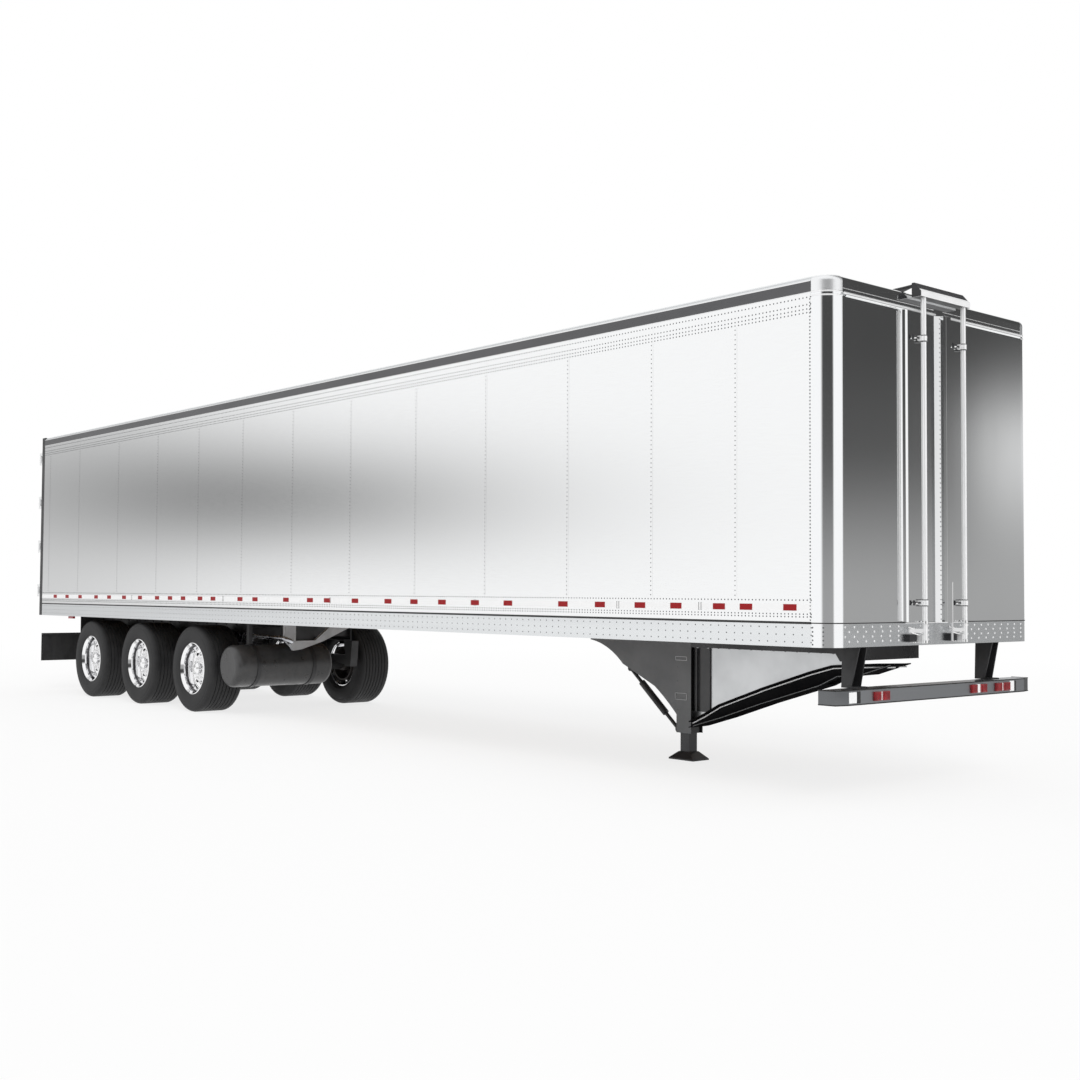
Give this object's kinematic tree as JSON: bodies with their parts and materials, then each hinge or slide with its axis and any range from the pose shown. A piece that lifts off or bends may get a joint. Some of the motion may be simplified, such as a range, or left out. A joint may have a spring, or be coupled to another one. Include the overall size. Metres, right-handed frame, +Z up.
{
  "type": "semi trailer",
  "caption": "Enclosed box semi trailer with wide single wheels, twin rear doors, a centre landing leg, a front bumper bar and a kingpin.",
  "frame": {"origin": "on the ground, middle of the overall length and width", "axes": "+X to the nose, +Y to the left, +Z up"},
  "size_m": [14.026, 2.632, 3.662],
  "materials": {
    "axle_black": "painted",
    "bellows_rubber": "matt",
    "brace_grey": "satin",
    "bumper_aluminium": "satin",
    "chassis_black": "semi-gloss",
    "deck_wood": "sealed",
    "door_white": "gloss",
    "flap_rubber": "matt",
    "frame_black": "semi-gloss",
    "gusset_grey": "satin",
    "lamp_red": "clear lens",
    "leg_black": "gloss",
    "nose_metal": "polished",
    "panel_grey": "satin",
    "pipe_grey": "satin",
    "post_chrome": "polished",
    "rail_aluminium": "satin",
    "roof_white": "satin",
    "skin_white": "gloss",
    "steel_pin": "machined",
    "steel_zinc": "zinc plated",
    "tank_black": "semi-gloss",
    "trim_chrome": "polished",
    "tyre_rubber": "matt",
    "wheel_alloy": "polished"
  },
  "bodies": {
    "trailer": {"air_springs": "bellows_rubber", "air_tank": "tank_black", "air_valve": "pipe_grey", "axles": "axle_black", "bogie_crossbars": "chassis_black", "bogie_rails": "chassis_black", "bottom_rails": "rail_aluminium", "brace_beam": "leg_black", "brace_panels": "panel_grey", "bumper": "bumper_aluminium", "bumper_brackets": "chassis_black", "corner_posts": "post_chrome", "coupler": "chassis_black", "cross_brace": "brace_grey", "cross_members": "chassis_black", "door_fittings": "door_white", "flap_arms": "chassis_black", "floor_deck": "deck_wood", "front_header": "nose_metal", "front_sill": "rail_aluminium", "front_wall": "nose_metal", "kingpin": "steel_pin", "lamps": "lamp_red", "leg_gusset": "gusset_grey", "leg_inner": "leg_black", "leg_outer": "leg_black", "leg_strut": "chassis_black", "mud_flaps": "flap_rubber", "nose_beads": "trim_chrome", "nose_head": "trim_chrome", "nose_pilaster": "nose_metal", "nose_rods": "trim_chrome", "rear_crossbars": "frame_black", "rear_posts": "frame_black", "roof": "roof_white", "roof_bows": "rail_aluminium", "side_walls": "skin_white", "suspension_arms": "chassis_black", "tank_straps": "chassis_black", "top_rails": "rail_aluminium"},
    "wheel_set_left_1": {"tyre_left_1": "tyre_rubber", "wheel_left_1": "wheel_alloy"},
    "wheel_set_right_1": {"tyre_right_1": "tyre_rubber", "wheel_right_1": "wheel_alloy"},
    "wheel_set_left_2": {"tyre_left_2": "tyre_rubber", "wheel_left_2": "wheel_alloy"},
    "wheel_set_right_2": {"tyre_right_2": "tyre_rubber", "wheel_right_2": "wheel_alloy"},
    "wheel_set_left_3": {"tyre_left_3": "tyre_rubber", "wheel_left_3": "wheel_alloy"},
    "wheel_set_right_3": {"tyre_right_3": "tyre_rubber", "wheel_right_3": "wheel_alloy"},
    "rear_door_left": {"door_left": "door_white", "lock_rods_left": "steel_zinc"},
    "rear_door_right": {"door_right": "door_white", "lock_rods_right": "steel_zinc"}
  },
  "joints": [
    {"name": "spin_left_1", "type": "hinge", "parent": "trailer", "child": "wheel_set_left_1", "pos_m": [-2.357, 1.0275, 0.509], "axis": [0, 1, 0], "continuous": true},
    {"name": "spin_right_1", "type": "hinge", "parent": "trailer", "child": "wheel_set_right_1", "pos_m": [-2.357, -1.0275, 0.509], "axis": [0, 1, 0], "continuous": true},
    {"name": "spin_left_2", "type": "hinge", "parent": "trailer", "child": "wheel_set_left_2", "pos_m": [-3.817, 1.0275, 0.509], "axis": [0, 1, 0], "continuous": true},
    {"name": "spin_right_2", "type": "hinge", "parent": "trailer", "child": "wheel_set_right_2", "pos_m": [-3.817, -1.0275, 0.509], "axis": [0, 1, 0], "continuous": true},
    {"name": "spin_left_3", "type": "hinge", "parent": "trailer", "child": "wheel_set_left_3", "pos_m": [-5.277, 1.0275, 0.509], "axis": [0, 1, 0], "continuous": true},
    {"name": "spin_right_3", "type": "hinge", "parent": "trailer", "child": "wheel_set_right_3", "pos_m": [-5.277, -1.0275, 0.509], "axis": [0, 1, 0], "continuous": true},
    {"name": "swing_left", "type": "hinge", "parent": "trailer", "child": "rear_door_left", "pos_m": [-6.997, 1.3, 2.3], "axis": [0, 0, -1], "range_deg": [0, 270]},
    {"name": "swing_right", "type": "hinge", "parent": "trailer", "child": "rear_door_right", "pos_m": [-6.997, -1.3, 2.3], "axis": [0, 0, 1], "range_deg": [0, 270]}
  ]
}
